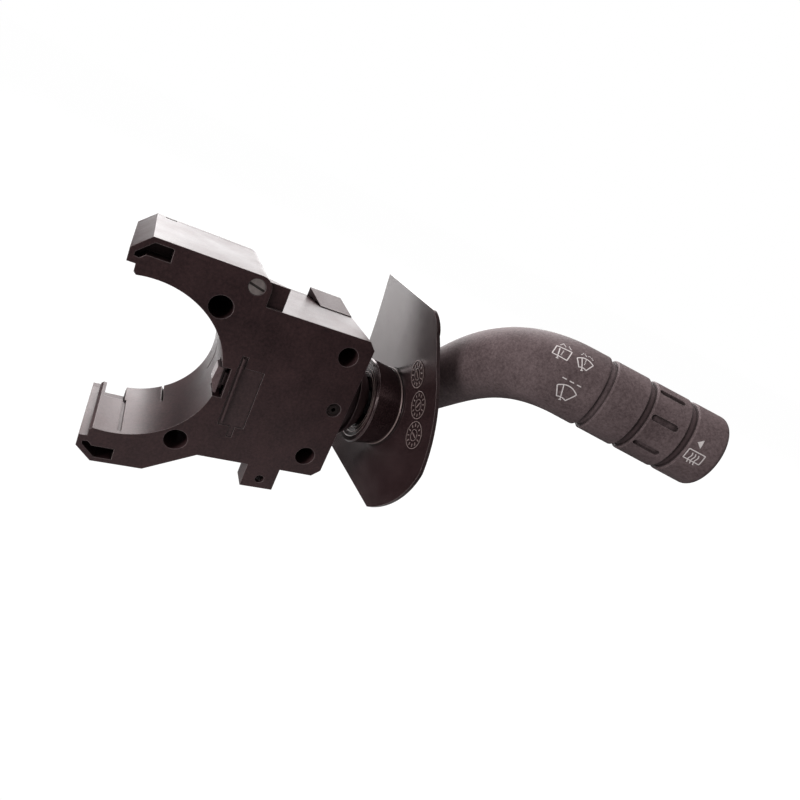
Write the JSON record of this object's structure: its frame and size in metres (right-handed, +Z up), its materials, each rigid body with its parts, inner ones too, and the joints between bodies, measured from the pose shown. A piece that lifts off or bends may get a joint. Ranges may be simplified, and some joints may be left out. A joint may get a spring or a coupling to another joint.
{
  "type": "combination stalk switch",
  "caption": "Steering-column stalk switch: a C-shaped housing that clamps the column, a bent lever that tilts two ways behind a bowed shield, and a knob with a turning ring and twist cap.",
  "frame": {"origin": "on the steering column's axis, in the plane of the housing's front face", "axes": "+X out towards the lever and its knob, +Y along the column away from the driver, +Z up towards the raised arm with the clamp screw"},
  "size_m": [0.1898, 0.1211, 0.0965],
  "materials": {
    "housing": "fine spark-eroded grain, glass-filled black moulding",
    "cover": "fine grain black moulding",
    "lever": "satin, soft leather-like grain",
    "knob": "satin moulding",
    "groove": "dull black moulding",
    "acetal": "natural low-friction moulding",
    "guide_plastic": "plain moulding",
    "board": "insulating board",
    "contact_brass": "stamped strip",
    "steel": "zinc-plated, dulled",
    "spring_steel": "drawn wire"
  },
  "bodies": {
    "housing": {"main_housing": "housing", "rear_cover": "cover", "cover_screws": "steel", "clamp_screw": "steel", "latch_clip": "cover", "latch_spring": "spring_steel", "top_lid": "cover", "terminal_pins": "contact_brass", "contact_board": "board", "contact_tracks": "contact_brass", "detent_cam": "acetal", "slide_guide": "guide_plastic"},
    "latch": {"latch_hook": "cover"},
    "tilt_frame": {"pivot_frame": "cover", "trunnions": "steel", "cross_pin": "steel"},
    "lever": {"lever_arm": "guide_plastic", "detent_spring": "spring_steel", "lever_shield": "lever", "lever_stalk": "lever", "lever_spindle": "guide_plastic", "sleeve_ring": "knob", "ring_washer": "groove", "cap_washer": "groove", "cap_spring": "spring_steel"},
    "plunger": {"detent_plunger": "acetal"},
    "pitch_contact": {"pitch_slide": "acetal"},
    "yaw_contact": {"yaw_slide": "acetal"},
    "turning_ring": {"interval_ring": "knob"},
    "twist_cap": {"end_cap": "knob"}
  },
  "joints": [
    {"name": "lever_updown", "type": "hinge", "parent": "housing", "child": "tilt_frame", "pos_m": [0.067, 0.0165, 0], "axis": [0, -1, 0], "range_deg": [-6, 18]},
    {"name": "lever_foreaft", "type": "hinge", "parent": "tilt_frame", "child": "lever", "pos_m": [0.067, 0.0165, 0], "axis": [0, 0, 1], "range_deg": [-7, 7], "stiffness_Nm_per_rad": 2},
    {"name": "detent_plunge", "type": "slide", "parent": "lever", "child": "plunger", "axis": [1, 0, 0], "range_m": [0, 0.0012], "stiffness_N_per_m": 1500, "deforming": ["detent_spring"]},
    {"name": "interval_turn", "type": "hinge", "parent": "lever", "child": "turning_ring", "pos_m": [0.1513, -0.0414, 0.0449], "axis": [0.8484, -0.5281, -0.0366], "range_deg": [-24, 24]},
    {"name": "cap_twist", "type": "hinge", "parent": "lever", "child": "twist_cap", "pos_m": [0.1513, -0.0414, 0.0449], "axis": [0.8484, -0.5281, -0.0366], "range_deg": [0, 20], "stiffness_Nm_per_rad": 0.08},
    {"name": "latch_slide", "type": "slide", "parent": "housing", "child": "latch", "axis": [1, 0, 0], "range_m": [0, 0.0022], "stiffness_N_per_m": 600, "deforming": ["latch_spring"]},
    {"name": "pitch_contact_slide", "type": "slide", "parent": "housing", "child": "pitch_contact", "axis": [0, 0, 1], "range_m": [-0.003, 0.0011]},
    {"name": "yaw_contact_slide", "type": "slide", "parent": "housing", "child": "yaw_contact", "axis": [0, 1, 0], "range_m": [-0.002, 0.002]}
  ],
  "couplings": [
    {"joint": "pitch_contact_slide", "follows": "lever_updown", "m_per_rad": -0.009},
    {"joint": "yaw_contact_slide", "follows": "lever_foreaft", "m_per_rad": -0.0155}
  ]
}
